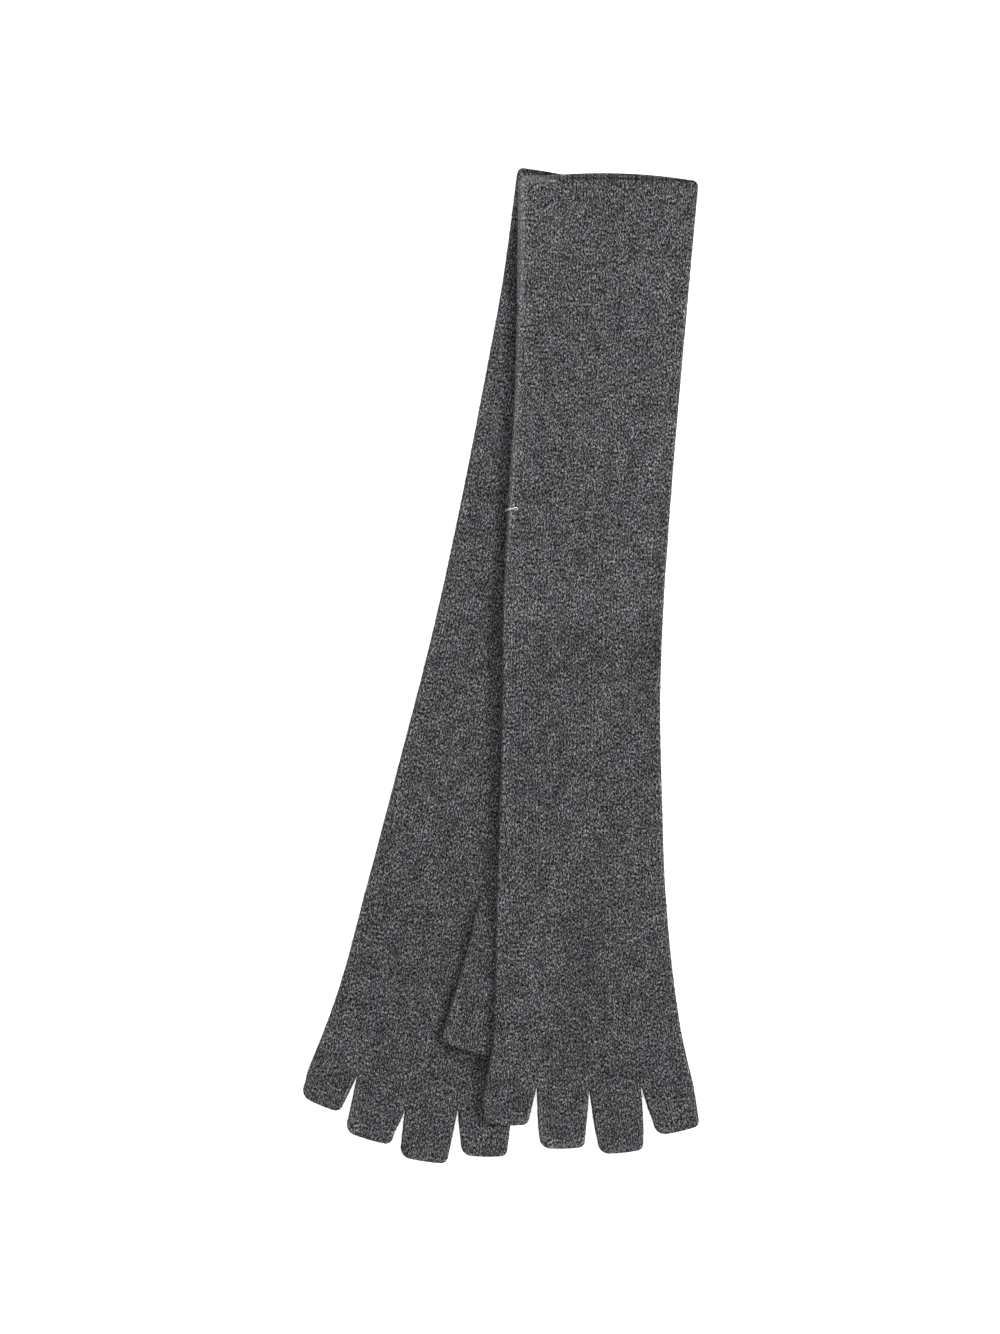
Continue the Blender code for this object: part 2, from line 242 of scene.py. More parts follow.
# In these two tables a rise is how much lighter the cloth is painted there; most rows are painted
# highlights or painted shadows, and the rest make the cloth lighter or darker in patches
LEFT_PAINTED_LIGHTS = (
    # painted shadow of the upper glove on the lower glove's cuff corner
    Crease(-3, -58.0, -1, -12.0, 4.0, -1.1),
    # painted shadow below the thumb's open end
    Crease(435, 8.0, 441, 38.0, 3.2, -0.32),
    # lighter over the hand on the little finger's side
    Crease(425, -34.0, 462, -34.0, 14.0, 0.13),
)
RIGHT_PAINTED_LIGHTS = (
    # painted highlights on the raised rim of the left fold by the cuff, round the cuff's left
    # corner and along the fold
    Crease(-22, -43.6, 66, -41.4, 1.6, 1.5),
    Crease(0.8, -58.0, 1.6, -22.0, 1.5, 1.5),
    Crease(40, -41.0, 200, -39.0, 1.8, 0.5),
    # lighter near the cuff's left corner
    Crease(15, -30.0, 35, -22.0, 8.0, 0.22),
    # painted shade on the slope below the fold mark, and painted light on the slope above it
    Crease(240, 42.0, 236, -12.0, 13.0, -0.17),
    Crease(212, -44.0, 206, 42.0, 8.0, 0.16),
    # lighter below the bend on the left
    Crease(228, -32.0, 252, -32.0, 8.0, 0.17),
    # darker along the right side above the bend, lighter along it below
    Crease(165, 34.0, 212, 34.0, 10.0, -0.09),
    Crease(250, 32.0, 410, 34.0, 12.0, 0.11),
    # lighter strip beside the right fold
    Crease(300, 39.5, 400, 42.0, 4.0, 0.18),
    # lighter over the middle of the hand
    Crease(345, 8.0, 405, 10.0, 9.0, 0.08),
    # painted highlight round the ring stub's open end
    Crease(484.5, -27.0, 484.5, -1.0, 2.4, 0.35),
)
# Painted shade at a cuff: where the cloth's inner side shows it is darker, and a painted shadow
# makes it darkest under the upper rim
CUFF_INSIDE = -0.02
CUFF_INSIDE_RUN = 5.0 * MM
CUFF_LINE = -1.1
CUFF_LINE_RUN = 2.2 * MM
CUFF_SHADE = -0.14
CUFF_SHADE_RUN = 7.0 * MM
CUFF_LINE_START = -34.0 * MM  # how far across the painted shadow line starts, and over what it grows
CUFF_LINE_GROWS = 9.0 * MM
# Painted light: a glove's cloth is paler from a line across it to the cuff, the more so the nearer
# the cuff, for light that falls off from top to bottom and, on the upper glove, for the lit slope
# above its fold mark
Pale = namedtuple("Pale", "along across end_along end_across softness at_bend at_cuff")
LEFT_PALE = (Pale(330, 38.0, 310, -38.0, 60.0, 0.12, 0.14),)
RIGHT_PALE = (Pale(219, 38.0, 233, -38.0, 3.0, 0.16, 0.25),)

# How finely the cloth is made, in mm
LINE_SPACING = 2.0
GIRTH_SPACING = 4.0
LINE_REACH = 60.0 * MM  # how far the middle line goes on past its two ends
STUB_COLUMNS = 14
STUB_ROWS = 16
ARM_STEP = 3.2
HAND_STEP = 2.4
HAND_START = 340.0  # from here on the rows are closer together
CUFF_ROWS = (0.25, 0.6, 1.1, 1.8)  # from the cuff's edge
FORK_ROWS = (1.8, 1.0, 0.4)  # up to where the fingers part
THUMB_COLUMNS = 16
THUMB_ROWS = 34
THUMB_CROWDING = 1.35  # over 1, its rows are closer together towards its end
AREA_STEPS = 40
MERGE = 0.001 * MM

# The nap: loose ends of wool that lie on the cloth, most of them along the glove
Nap = namedtuple("Nap", "count length thickness lift bend light")
NAPS = (
    Nap(31000, 2.6 * MM, 0.13 * MM, 9.0, 0.16, 0.0),
    Nap(220, 6.5 * MM, 0.12 * MM, 5.0, 0.22, 0.9),  # a few long strays
)
NAP_LENGTHS = (0.45, 1.4)  # the shortest and the longest, as shares
NAP_THICKNESSES = (0.7, 1.3)
NAP_SHADES = (1.6, 2.4)  # a beta distribution's two shapes: dark ones are the more common
NAP_ROOT = 0.08 * MM  # how deep an end of wool starts in the cloth
NAP_TURN = 35.0  # how far most of it lies from the glove's own line
NAP_REACH = 0.75 * MM  # the furthest that its tip stands off the cloth
NAP_FLOOR = 0.03 * MM  # none is lower, and every second corner is at least twice as high
NAP_PAINTED_LIGHT = 0.3  # how much of the cloth's painted light and shade it takes
NAP_PAINTED_LIGHT_MOST = 0.55
NAP_EVEN = 0.42  # the shade that fibres come near where the painted highlight is strongest
NAP_AT_CUFF = 0.4  # how long it is at the cuff's edge, as a share
NAP_CUFF_RUN = 3.0 * MM
NAP_SEED = 41
NO_GAP = 1e-9  # what a tip that touches the cloth is taken to be off it

# The tack: a short white thread over the upper glove's side fold
TACK_PATH = (
    Point(2.2, 77.2),
    Point(3.9, 77.9),
    Point(5.7, 78.2),
    Point(7.8, 78.7),
    Point(8.5, 77.5),
)
TACK_SPACING = 0.15
TACK_THICKNESS = 0.28 * MM  # each of its two plies
TACK_TWIST = 2.4 * MM
TACK_DIVE = 0.6 * MM  # over this length its ends go into the cloth
TACK_DEPTH = 3 * TACK_THICKNESS

# ---------------------------------------------------------------------------------------
# Colours and finishes

COOL = (1.003, 1.0, 1.035)  # the wool's grey is a touch cool
Grey = namedtuple("Grey", "at value")
WOOL_GREYS = (
    Grey(0.410, 0.0020),
    Grey(0.455, 0.0095),
    Grey(0.500, 0.041),
    Grey(0.545, 0.094),
    Grey(0.590, 0.205),
)
NAP_GREYS = (Grey(0.0, 0.006), Grey(0.35, 0.04), Grey(0.75, 0.16), Grey(1.0, 0.34))
GRAIN_SCALE = 1550.0
GRAIN_STRETCH = 1.7  # how much longer its spots are than wide
GRAIN_SHARE = 0.40  # how much of the wool's tone it makes
FLECK_SCALE = 1950.0  # flecks are finer and longer than grains
FLECK_STRETCH = 3.5
FLECK_SHARE = 0.2
FLECK_TURNS = (33.0, -30.0, 3.0)  # how the flecks lie to the glove's own line
WALE = 1.7 * MM  # from one faint wale to the next
WALE_TONE = 0.010
DRIFT_STRETCH = 4.0
NOISE_RANGE = (0.3, 0.7)  # nearly all of a noise's values lie between these
Patches = namedtuple("Patches", "scale low high")
WALE_DRIFT = Patches(260.0, -1.6, 1.6)  # how far the wales wander, in radians
MOTTLE = Patches(175.0, 0.70, 1.38)
MOTTLE_DETAIL = 2.0
MOTTLE_ROUGHNESS = 0.6
BROAD = Patches(28.0, 0.95, 1.05)  # broad, faint differences over a whole glove
TINT_SCALE = 90.0
TINTS = ((0.35, (1.02, 1.01, 0.96, 1)), (0.65, (0.985, 0.99, 1.04, 1)))
WOOL_BUMP = {"Strength": 0.8, "Distance": 0.45 * MM}
WOOL_FINISH = {
    "Roughness": 0.95,
    "Specular IOR Level": 0.06,
    "Sheen Weight": 0.06,
    "Sheen Roughness": 0.45,
}
NAP_FINISH = {"Roughness": 0.7, "Specular IOR Level": 0.12}
TACK_FINISH = {"Base Color": (0.8, 0.8, 0.78, 1), "Roughness": 0.6}
TABLE_FINISH = {
    "Base Color": (0.9, 0.9, 0.9, 1),
    "Roughness": 0.9,
    "Emission Color": (1, 1, 1, 1),
    "Emission Strength": 0.75,
}

# ---------------------------------------------------------------------------------------
# Camera, light and room, for an image of 1000 x 1334

VIEW_HEIGHT = 0.667  # what the image shows of the surface, from top to bottom
VIEW_MIDDLE = (-0.45 * MM, -0.75 * MM)
CAMERA_HEIGHT = 2.6
SENSOR = 36.0
TABLE_REACH = 4.0
TABLE_DROP = 0.2 * MM  # how far below the gloves' underside it lies
ROOM_LIGHT = 0.9
KEY_PLACE = (1.94, 0.42, 1.68)
KEY_SIZE = 0.8
KEY_POWER = 55.0


def smooth_step(t):
    """From 0 to 1 as t goes from 0 to 1, level at both ends."""
    t = np.clip(t, 0.0, 1.0)
    return t * t * (3 - 2 * t)


def fall(distance, run):
    """1 up to a distance of 0, then down to 0 over the run."""
    return 1 - smooth_step(distance / run)


def hump(distance, reach):
    """1 at a distance of 0, and about a third at the reach."""
    return np.exp(-((distance / reach) ** 2))


def unit(ways):
    """The same ways, each with a length of 1."""
    return ways / np.linalg.norm(ways, axis=-1, keepdims=True)


def from_cosine(count):
    """Shares from 0 to 1 that lie close together at both ends."""
    return (1 - np.cos(np.linspace(0, math.pi, count + 1))) / 2


def smooth_curve(rows, spacing):
    """Points about spacing apart on a smooth curve through the rows."""
    rows = np.array(rows, float)
    steps = np.linalg.norm(np.diff(rows, axis=0), axis=1)
    knots = np.concatenate([[0], np.cumsum(steps)])
    slopes = np.gradient(rows, knots, axis=0)
    at = np.linspace(0, knots[-1], int(knots[-1] / spacing) + 1)
    i = np.clip(np.searchsorted(knots, at, side="right") - 1, 0, len(steps) - 1)
    t = ((at - knots[i]) / steps[i])[:, None]
    reach = steps[i][:, None]
    return (
        rows[i] * (1 + 2 * t) * (1 - t) ** 2
        + rows[i + 1] * t * t * (3 - 2 * t)
        + slopes[i] * reach * t * (1 - t) ** 2
        + slopes[i + 1] * reach * t * t * (t - 1)
    )


def crease_relief(creases, along, across):
    """How much the creases raise the cloth at places given in metres."""
    relief = np.zeros_like(along)
    for crease in creases:
        start = np.array([crease.along, crease.across]) * MM
        run = np.array([crease.end_along, crease.end_across]) * MM - start
        length = np.linalg.norm(run)
        offset = np.stack([along, across], axis=1) - start
        share = np.clip(offset @ run / length**2, 0, 1)
        beside = np.linalg.norm(offset - share[:, None] * run, axis=1)
        tapered = 1 - (2 * share - 1) ** 4
        relief += crease.rise * MM * tapered * hump(beside, crease.width * MM)
    return relief


def bend_relief(bends, along, across):
    """How much the bends raise the whole glove at places given in metres."""
    relief = np.zeros_like(along)
    for bend in bends:
        share = (across / MM - bend.across) / (bend.end_across - bend.across)
        past = along - (bend.along + share * (bend.end_along - bend.along)) * MM
        reach = np.where(past < 0, bend.before, bend.after) * MM
        softened = np.hypot(past, BEND_SOFTNESS) - BEND_SOFTNESS
        relief += bend.rise * MM * np.exp(-softened / reach)
    return relief


def pull(pulls, along, across):
    """How far ahead and aside the pulls move the places given in metres."""
    ahead, aside = np.zeros_like(along), np.zeros_like(along)
    for one in pulls:
        past, beside = (along / MM - one.along) / one.run, (across / MM - one.across) / one.girth
        share = np.exp(-(past**2) - beside**2)
        ahead += one.ahead * MM * share
        aside += one.aside * MM * share
    return ahead, aside


def paler(pales, along, across):
    """How much lighter painted light makes the cloth from a line across it to the cuff."""
    lighter = np.zeros_like(along)
    for pale in pales:
        share = (across / MM - pale.across) / (pale.end_across - pale.across)
        line = (pale.along + share * (pale.end_along - pale.along)) * MM
        strength = pale.at_cuff + (pale.at_bend - pale.at_cuff) * along / line
        lighter += strength * fall(along - line, pale.softness * MM)
    return lighter


class Glove:
    """One glove's cut, and the places that its points take as it lies."""

    def __init__(self, lay, pulls, creases, bends, painted_lights, pales):
        self.lay = lay
        self.pulls = pulls
        self.creases = creases
        self.bends = bends
        self.painted_lights = painted_lights
        self.pales = pales
        line = smooth_curve(lay.middle_line, LINE_SPACING) * MM
        steps = np.linalg.norm(np.diff(line, axis=0), axis=1)
        before = line[0] - (line[1] - line[0]) * LINE_REACH / steps[0]
        after = line[-1] + (line[-1] - line[-2]) * LINE_REACH / steps[-1]
        self.line = np.vstack([before, line, after])
        along = np.cumsum([0, *steps]) * ARM_LENGTH * MM / steps.sum()
        self.along = np.array([-LINE_REACH, *along, along[-1] + LINE_REACH])
        self.ahead = unit(np.gradient(self.line, self.along, axis=0))
        self.girths = smooth_curve(ARM_GIRTHS, GIRTH_SPACING) * MM

    def half_width(self, along):
        """Half the width of the arm and hand, laid flat."""
        return np.interp(along, self.girths[:, 0], self.girths[:, 1]) / 2

    def read_off(self, rows, along):
        """The x and y of rows that go with the middle line's points, at places along it."""
        return np.stack([np.interp(along, self.along, rows[:, k]) for k in (0, 1)], axis=-1)

    def axes(self, along):
        """The way to the fingers, and the way across to the thumb's side."""
        ahead = unit(self.read_off(self.ahead, along))
        return ahead, np.stack([-ahead[..., 1], ahead[..., 0]], axis=-1)

    def place(self, along, across):
        """Where points of the laid glove are, seen from above."""
        return self.read_off(self.line, along) + np.asarray(across)[..., None] * self.axes(along)[1]

    def locate(self, places):
        """How far along the glove and across it places lie."""
        gaps = ((places[:, None] - self.line[None]) ** 2).sum(axis=2)
        i = np.clip(gaps.argmin(axis=1), 1, len(self.along) - 2)
        offset = places - self.line[i]
        ahead = self.ahead[i]
        aside = np.stack([-ahead[:, 1], ahead[:, 0]], axis=1)
        return self.along[i] + (offset * ahead).sum(axis=1), (offset * aside).sum(axis=1)

    def thumb_edges(self, along):
        """The two sides of the thumb, across from the hand's middle."""
        base = THUMB_OPENING[1] * MM
        share = smooth_step((along - base) / (THUMB_END * MM - base))
        sides = zip(THUMB_ROOT_EDGES, THUMB_END_EDGES)
        return [root * MM + share * (end - root) * MM for root, end in sides]

    def thumb_rise(self, along):
        """How far the thumb has come out of its opening, from 0 to 1."""
        start, end = (x * MM for x in THUMB_OPENING)
        return smooth_step((along - start) / (end - start))

    def thumb_lift(self, places, margin, run):
        """How much the thumb lifts what lies on it."""
        along, across = self.locate(places)
        first, last = self.thumb_edges(along)
        beside = np.maximum(first - margin - across, across - last - margin)
        past = along - THUMB_END * MM - THUMB_END_SLANT - margin
        share = self.thumb_rise(along + margin) * fall(beside, run) * fall(past, run)
        return (SEAM + TUBE_HEIGHT) * share

    def relief(self, along, across):
        """How much the upper layer rises above a flat one."""
        return crease_relief(self.creases, along, across)

    def bent(self, along, across):
        """How much the whole glove rises where it is bent."""
        return bend_relief(self.bends, along, across)

    def painted_lightness(self, along, across, from_fold, top):
        """How much lighter or darker than the rest painted highlights, painted shade and a few
        patches make the cloth.
        """
        tilt = EDGE_HIGHLIGHT - EDGE_HIGHLIGHT_TILT * np.sign(across)
        edge = tilt * hump(from_fold - EDGE_HIGHLIGHT_FROM, EDGE_HIGHLIGHT_REACH)
        # Painted shade right round the fold
        edge += EDGE_LINE * hump(from_fold, EDGE_LINE_REACH)
        painted_lights = crease_relief(self.painted_lights, along, across) / MM
        # Painted shade at the cuff, with a painted shadow line under the upper rim
        line = CUFF_LINE * fall(along, CUFF_LINE_RUN) + CUFF_SHADE * fall(along, CUFF_SHADE_RUN)
        line *= smooth_step((across - CUFF_LINE_START) / CUFF_LINE_GROWS)
        mouth = np.where(top == 1, line, CUFF_INSIDE * fall(along, CUFF_INSIDE_RUN))
        return edge + painted_lights + mouth + paler(self.pales, along, across)


def on_surface(places):
    """The height of the lower glove's underside."""
    return np.zeros(len(places))


def on_left_glove(left, right):
    """A function for the height of the upper glove's underside."""

    def height(places):
        along, across = left.locate(places)
        beside = across - left.half_width(along) - DROOP_START
        above_cuff = -along - left.lay.cuff_bow
        covered = fall(beside, DROOP_RUN) * fall(above_cuff, CUFF_DROOP_RUN)
        top = SEAM + TUBE_HEIGHT + left.relief(along, across) + left.bent(along, across)
        lower_glove = top * covered
        lifted = left.thumb_lift(places, LOWER_THUMB_DROOP_START, LOWER_THUMB_DROOP_RUN)
        lifted += right.thumb_lift(places, 0.0, OWN_THUMB_DROOP_RUN)
        return lower_glove + lifted + crease_relief(RIGHT_CURLS, *right.locate(places))

    return height


# ---------------------------------------------------------------------------------------
# Cloth


def puff(from_fold):
    """How much higher the cloth stands beside its folds, where it doesn't fold flat."""
    return FOLD_PUFF * hump(from_fold - FOLD_PUFF_FROM, FOLD_PUFF_REACH)


def round_fold(from_fold):
    """How much more cloth there is from a fold's inner side to a place than shows from above."""
    turn = np.linspace(0, math.pi / 2, FOLD_STEPS)
    seen = FOLD_ROUNDING * (1 - np.cos(turn))
    steps = np.hypot(np.diff(seen), np.diff(TUBE_HEIGHT / 2 * np.sin(turn)))
    hidden = np.concatenate([[0], np.cumsum(steps)]) - seen
    return np.interp(from_fold, seen, hidden[-1] - hidden)


def half_height(from_fold, from_rim, dip=RIM_DIP):
    """Half the height of a laid tube: round at its folds, and dipped at an open rim."""
    near = 1 - np.clip(from_fold / FOLD_ROUNDING, 0, 1)
    rim = 1 - np.clip(from_rim / RIM_ROUNDING, 0, 1)
    return TUBE_HEIGHT / 2 * np.sqrt(1 - near**2) * (1 - dip * rim**2)


def corner_cut(from_sides, radii):
    """How far rounded corners draw an open end back, at places this far from its two sides."""
    cut = np.zeros_like(from_sides[0])
    for radius, from_side in zip(radii, from_sides):
        inside = np.sqrt(np.maximum(radius**2 - np.maximum(radius - from_side, 0) ** 2, 0))
        cut = np.maximum(cut, radius - inside)
    return cut


def cloth_grids(columns, rows, slits=(), slit_row=0):
    """Two grids for a tube's two layers, slit from a row on, with their points' numbers."""
    bm = bmesh.new()
    names = ("column", "row", "stub", "top")
    column, row, stub, top = (bm.verts.layers.int.new(name) for name in names)
    bmesh.ops.create_grid(bm, x_segments=columns, y_segments=rows, size=1.0)
    for vert in bm.verts:
        vert[column] = round((vert.co.x + 1) / 2 * columns)
        vert[row] = round((vert.co.y + 1) / 2 * rows)
    cuts = [
        edge
        for edge in bm.edges
        if all(v[column] in slits and v[row] >= slit_row for v in edge.verts)
        and edge.verts[0][column] == edge.verts[1][column]
    ]
    bmesh.ops.split_edges(bm, edges=cuts)
    for face in bm.faces:
        middle = sum(v[column] for v in face.verts) / 4
        for vert in face.verts:
            vert[stub] = sum(middle > slit for slit in slits)
    upper = bmesh.ops.duplicate(bm, geom=bm.verts[:] + bm.edges[:] + bm.faces[:])["geom"]
    for item in upper:
        if isinstance(item, bmesh.types.BMVert):
            item[top] = 1
    bmesh.ops.reverse_faces(bm, faces=[f for f in upper if isinstance(f, bmesh.types.BMFace)])
    numbers = [np.array([v[layer] for v in bm.verts]) for layer in (column, row, stub, top)]
    return bm, numbers


def placed(name, data):
    """A new object in the scene."""
    piece = bpy.data.objects.new(name, data)
    bpy.context.scene.collection.objects.link(piece)
    return piece


def shell(name, bm, points, cut_places, painted_lightness, folded):
    """The cloth as an object: its layers joined along their folds, with a wall's thickness."""
    uv = bm.loops.layers.uv.new("cut")
    # Each point keeps its painted highlight or painted shade as an attribute
    painted_light = bm.verts.layers.float.new("painted_light")
    place_of = dict(zip(bm.verts, cut_places.tolist()))
    for vert, point, painted_value in zip(bm.verts, points.tolist(), painted_lightness.tolist()):
        vert.co = point
        vert[painted_light] = painted_value
    for face in bm.faces:
        for loop in face.loops:
            loop[uv].uv = place_of[loop.vert]
    sides = [vert for vert, is_folded in zip(bm.verts, folded) if is_folded]
    bmesh.ops.remove_doubles(bm, verts=sides, dist=MERGE)
    mesh = bpy.data.meshes.new(name)
    bm.to_mesh(mesh)
    bm.free()
    mesh.shade_smooth()
    piece = placed(name, mesh)
    wall = piece.modifiers.new("wall", "SOLIDIFY")
    wall.thickness = WALL
    wall.offset = -1
    return piece


def stub_places(glove, stub, share, across_share):
    """Where the points of one finger stub are, how wide it is there and how long it is."""
    finger = glove.lay.fingers[stub]
    hand, aside = glove.axes(ARM_LENGTH * MM)
    widths = [f.root_width * MM for f in glove.lay.fingers]
    edge = sum(widths[:stub]) - sum(widths) / 2
    middle = glove.place(ARM_LENGTH * MM, 0.0)
    root = [middle + aside * x for x in (edge, edge + widths[stub])]
    angle = math.radians(finger.splay)
    ahead = hand * math.cos(angle) - aside * math.sin(angle)
    across = hand * math.sin(angle) + aside * math.cos(angle)
    length = finger.length * MM
    end = (root[0] + root[1]) / 2 + ahead * length
    half = across * finger.end_width * MM / 2
    left = root[0] + share[:, None] * (end - half - root[0])
    right = root[1] + share[:, None] * (end + half - root[1])
    width = np.linalg.norm(right - left, axis=1)
    drawn = smooth_step(1 - (1 - share) * length / END_ZONE)
    cut = corner_cut((across_share * width, (1 - across_share) * width), FINGER_CORNERS)
    cut = drawn * (cut + END_BOW * (2 * across_share - 1) ** 2 - END_BOW / 2)
    places = left + (right - left) * across_share[:, None] - ahead * cut[:, None]
    return places, width, length


def arm_rows():
    """Where the cloth's rows are along the arm and hand, in metres."""
    arm = np.arange(CUFF_ROWS[-1] + ARM_STEP / 2, HAND_START, ARM_STEP)
    hand = np.arange(arm[-1] + HAND_STEP, ARM_LENGTH - FORK_ROWS[0] - HAND_STEP / 2, HAND_STEP)
    fork = [ARM_LENGTH - x for x in FORK_ROWS]
    return np.array([0.0, *CUFF_ROWS, *arm, *hand, *fork, ARM_LENGTH]) * MM


def cuff_shift(lay, across, half, top):
    """How far the cuff's edge is from square: turned, bowed, stepped and round at its corners."""
    inwards = 1 - (across / half) ** 2
    shift = math.tan(math.radians(lay.cuff_turn)) * across - lay.cuff_bow * inwards
    shift += CUFF_STEP * inwards * top
    return shift + corner_cut((half + across, half - across), (CUFF_CORNER, CUFF_CORNER))


def glove_cloth(glove, height):
    """The arm, hand and finger stubs of a glove, as one piece of cloth."""
    lay = glove.lay
    stations = arm_rows()
    root_row = len(stations) - 1
    columns = STUB_COLUMNS * len(lay.fingers)
    slits = range(STUB_COLUMNS, columns, STUB_COLUMNS)
    bm, numbers = cloth_grids(columns, root_row + STUB_ROWS, slits, root_row)
    column, row, stub, top = numbers
    shares = from_cosine(STUB_COLUMNS)
    widths = np.array([f.root_width for f in lay.fingers]) * MM
    edges = np.cumsum([0, *widths]) - widths.sum() / 2
    across_share = shares[column - stub * STUB_COLUMNS]
    root_across = edges[stub] + widths[stub] * across_share

    on_arm = row <= root_row
    along = stations[np.minimum(row, root_row)]
    half = glove.half_width(along)
    across = half * root_across / (widths.sum() / 2)
    from_fold = half - np.abs(across)
    for fork in edges[1:-1]:
        from_fold = np.minimum(from_fold, np.hypot(ARM_LENGTH * MM - along, across - fork))
    from_rim = along.copy()
    shift = fall(along, 2 * END_ZONE) * cuff_shift(lay, across, half, top)
    places = glove.place(along + shift, across)

    stub_share = from_cosine(STUB_ROWS)[np.maximum(row - root_row, 0)]
    for k in range(len(lay.fingers)):
        here = (stub == k) & ~on_arm
        spots, width, length = stub_places(glove, k, stub_share[here], across_share[here])
        places[here] = spots
        from_fold[here] = np.minimum(across_share[here], 1 - across_share[here]) * width
        from_rim[here] = (1 - stub_share[here]) * length
        along[here] = ARM_LENGTH * MM + stub_share[here] * length
        across[here] = root_across[here]
    ahead, aside = glove.axes(along)
    pulled_ahead, pulled_aside = pull(glove.pulls, along, across)
    places += ahead * pulled_ahead[:, None] + aside * pulled_aside[:, None]

    rise = half_height(from_fold, from_rim, np.where(on_arm, CUFF_DIP, RIM_DIP))
    gape = CUFF_GAPE * fall(along, CUFF_GAPE_RUN)
    relief = (glove.relief(along, across) + puff(from_fold) + gape) * 2 * rise / TUBE_HEIGHT
    z = height(places) + glove.bent(along, across) + TUBE_HEIGHT / 2
    z += np.where(top == 1, rise + relief, -rise)
    side_columns = (column == 0) | (column == columns)
    folded = side_columns | (np.isin(column, list(slits)) & (row >= root_row))
    points = np.column_stack([places, z])
    past_middle = np.where(on_arm, across, across_share - 0.5)
    beside = np.where(on_arm, half - np.abs(across), from_fold)
    cut_across = across + pulled_aside + np.sign(past_middle) * round_fold(beside)
    cut_places = np.stack([cut_across, along + pulled_ahead], axis=1)
    # Painted highlights and painted shade on the cloth, with a painted highlight round each stub's
    # open end
    painted_lightness = glove.painted_lightness(along, across, from_fold, top)
    painted_lightness += END_HIGHLIGHT * hump(from_rim - EDGE_HIGHLIGHT_FROM, EDGE_HIGHLIGHT_REACH) * ~on_arm
    return shell(lay.side + "_glove", bm, points, cut_places, painted_lightness, folded)


def thumb_cloth(glove):
    """The thumb, which comes out of the palm's cloth and lies folded against it."""
    start = THUMB_OPENING[0] * MM
    last = THUMB_END * MM
    bm, (column, row, _, top) = cloth_grids(THUMB_COLUMNS, THUMB_ROWS)
    shares = 1 - (1 - np.linspace(0, 1, THUMB_ROWS + 1)) ** THUMB_CROWDING
    along = start + (last - start) * shares[row]
    left, right = glove.thumb_edges(along)
    across_share = from_cosine(THUMB_COLUMNS)[column]
    across = left + (right - left) * across_share
    from_fold = np.minimum(across_share, 1 - across_share) * (right - left)
    drawn = smooth_step(1 - (last - along) / (2 * END_ZONE))
    cut = corner_cut((across - left, right - across), (THUMB_CORNER, THUMB_CORNER))
    moved = along + drawn * (THUMB_END_SLANT * (2 * across_share - 1) - cut)
    rise = glove.thumb_rise(along)
    thick = TUBE_HEIGHT - 2 * THUMB_SINK * (1 - rise)
    half = half_height(from_fold, last - along) * thick / TUBE_HEIGHT
    far = rise * (SEAM + TUBE_HEIGHT) - (1 - rise) * THUMB_SINK
    bulge = THUMB_BULGE * rise * np.sin(math.pi * across_share) ** 2 + puff(from_fold) * rise
    from_palm = far - thick / 2
    if glove.lay.palm_up:
        level = TUBE_HEIGHT + from_palm + np.where(top == 1, half * (1 + bulge / thick * 2), -half)
    else:
        level = rise * (SEAM + TUBE_HEIGHT) - from_palm + np.where(top == 1, half, -half)
    points = np.column_stack([glove.place(moved, across), level])
    folded = (column == 0) | (column == THUMB_COLUMNS)
    cut_across = across + np.sign(across_share - 0.5) * round_fold(from_fold)
    cut_places = np.stack([cut_across, along], axis=1)
    from_edge = np.minimum(from_fold, last - along)
    # A painted highlight round the thumb's edges
    painted_lightness = THUMB_HIGHLIGHT * rise * hump(from_edge - EDGE_HIGHLIGHT_FROM, EDGE_HIGHLIGHT_REACH)
    return shell(glove.lay.side + "_thumb_cloth", bm, points, cut_places, painted_lightness, folded)


# ---------------------------------------------------------------------------------------
# Nap and tack


def cloth_samples(piece, rng, count):
    """Points spread evenly over a piece's cloth: places, normals, and places in the cut."""
    mesh = piece.data
    mesh.calc_loop_triangles()
    corners = np.empty(len(mesh.loop_triangles) * 3, np.int32)
    loops = np.empty_like(corners)
    mesh.loop_triangles.foreach_get("vertices", corners)
    mesh.loop_triangles.foreach_get("loops", loops)
    places = np.empty(len(mesh.vertices) * 3)
    normals = np.empty_like(places)
    mesh.vertices.foreach_get("co", places)
    mesh.vertices.foreach_get("normal", normals)
    cut = np.empty(len(mesh.loops) * 2)
    mesh.uv_layers["cut"].uv.foreach_get("vector", cut)
    triangles = places.reshape(-1, 3)[corners].reshape(-1, 3, 3)
    sides = triangles[:, 1:] - triangles[:, :1]
    areas = np.linalg.norm(np.cross(sides[:, 0], sides[:, 1]), axis=1)
    chosen = rng.choice(len(areas), size=count, p=areas / areas.sum())
    shares = rng.dirichlet((1, 1, 1), count)[:, :, None]
    at = (triangles[chosen] * shares).sum(axis=1)
    out = (normals.reshape(-1, 3)[corners].reshape(-1, 3, 3)[chosen] * shares).sum(axis=1)
    cut_at = (cut.reshape(-1, 2)[loops].reshape(-1, 3, 2)[chosen] * shares).sum(axis=1)
    return at, unit(out), cut_at


def surface_tree(pieces):
    """The surface of some pieces, for finding the places nearest to a point or under it."""
    bm = bmesh.new()
    for piece in pieces:
        bm.from_mesh(piece.data)
    tree = BVHTree.FromBMesh(bm)
    bm.free()
    return tree


def top_of(*pieces):
    """A function for the height of the pieces' top, at a place seen from above."""
    tree = surface_tree(pieces)
    return lambda x, y: tree.ray_cast(Vector((x, y, 1.0)), Vector((0, 0, -1)))[0].z


